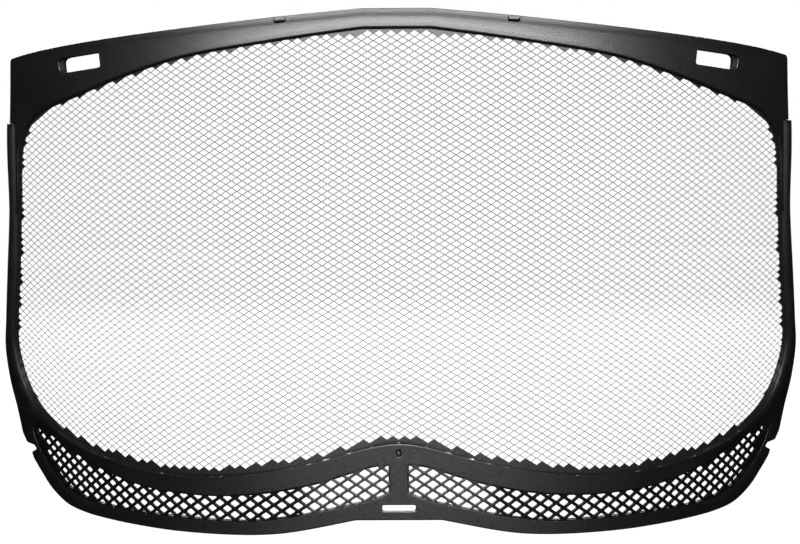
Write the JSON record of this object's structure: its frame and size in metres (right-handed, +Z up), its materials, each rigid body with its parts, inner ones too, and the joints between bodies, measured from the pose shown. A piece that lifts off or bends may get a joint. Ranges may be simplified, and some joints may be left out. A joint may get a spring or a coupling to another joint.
{
  "type": "face shield",
  "caption": "Curved mesh face shield insert: a black etched metal sheet clamped between moulded frames, with carrier slots at the brow and a vented chin guard.",
  "frame": {"origin": "middle of the part's box in X and Y, at its lowest edge in Z", "axes": "+Z up the front centre line, +Y from the outside towards the wearer, +X to the right as seen from the front"},
  "size_m": [0.3104, 0.0781, 0.1915],
  "materials": {
    "satin_plastic": "satin black moulded nylon with a fine spark-eroded grain",
    "matte_plastic": "matt black moulded nylon",
    "grille_plastic": "black moulded nylon lattice",
    "pin_plastic": "dark grey moulded pin end",
    "etched_mesh": "thin etched stainless sheet, blackened, semi-matt"
  },
  "bodies": {
    "root": {"brow_band": "satin_plastic", "chin_frame": "satin_plastic", "rear_frame": "matte_plastic", "mesh_screen": "etched_mesh", "chin_grille_left": "grille_plastic", "chin_grille_right": "grille_plastic", "snap_lug_left": "satin_plastic", "snap_lug_right": "satin_plastic", "chin_pin": "pin_plastic", "heat_stakes": "matte_plastic"}
  },
  "joints": []
}
